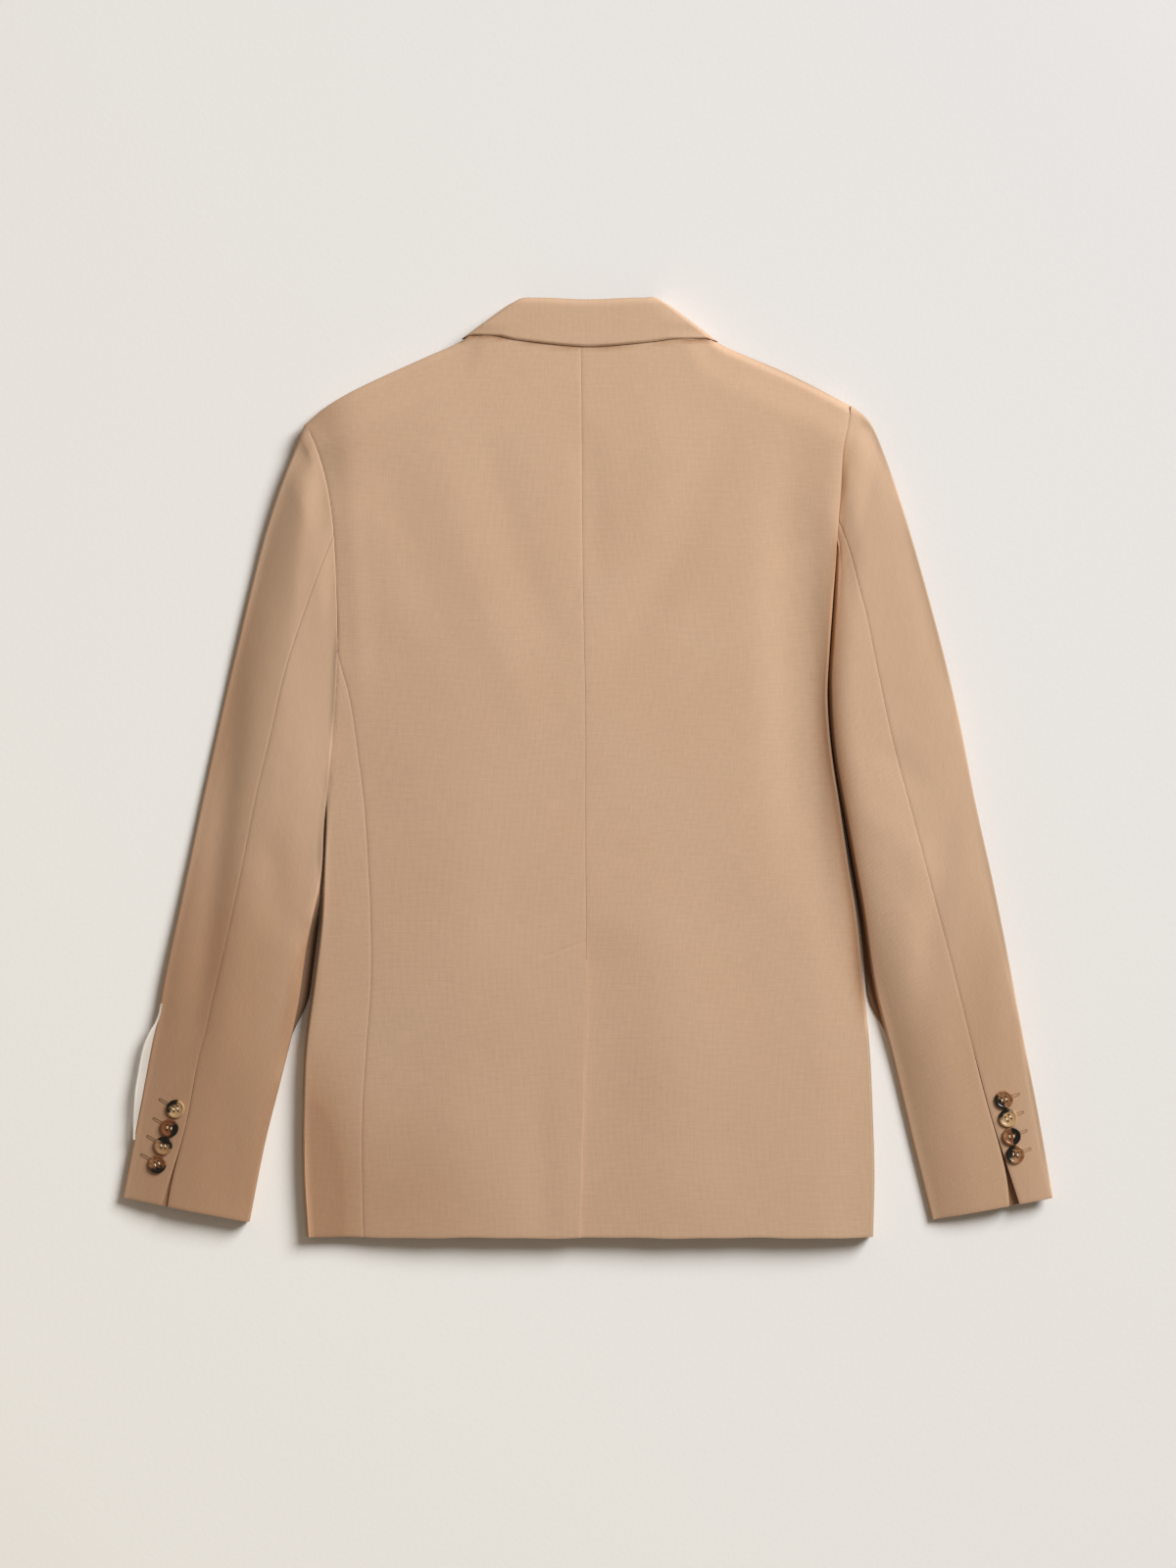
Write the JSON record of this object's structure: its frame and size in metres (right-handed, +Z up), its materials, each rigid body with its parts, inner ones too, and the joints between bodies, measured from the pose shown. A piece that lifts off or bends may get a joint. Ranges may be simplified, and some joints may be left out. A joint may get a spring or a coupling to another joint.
{
  "type": "tailored blazer",
  "caption": "Single-breasted tailored blazer laid flat with its back up: two-piece sleeves with buttoned cuffs, notched lapels, turned-down collar and a centre back vent.",
  "frame": {"origin": "on the surface it lies on, under the middle of the laid-out garment", "axes": "+Z up from the surface through the back, +Y towards the collar, -X towards the wearer's left sleeve"},
  "size_m": [0.732, 0.7378, 0.0236],
  "materials": {
    "cloth": "fine plain weave, camel",
    "buttons": "mottled horn",
    "label": "woven off-white tape"
  },
  "bodies": {
    "root": {"back_left": "cloth", "back_right": "cloth", "side_left": "cloth", "side_right": "cloth", "front_left": "cloth", "front_right": "cloth", "lapel_left": "cloth", "lapel_right": "cloth", "collar": "cloth", "collar_stand": "cloth", "top_sleeve_left": "cloth", "top_sleeve_right": "cloth", "under_sleeve_left": "cloth", "under_sleeve_right": "cloth", "cuff_button_left_1": "buttons", "cuff_button_left_2": "buttons", "cuff_button_left_3": "buttons", "cuff_button_left_4": "buttons", "cuff_button_right_1": "buttons", "cuff_button_right_2": "buttons", "cuff_button_right_3": "buttons", "cuff_button_right_4": "buttons", "front_button_upper": "buttons", "front_button_lower": "buttons", "cuff_label": "label"}
  },
  "joints": []
}
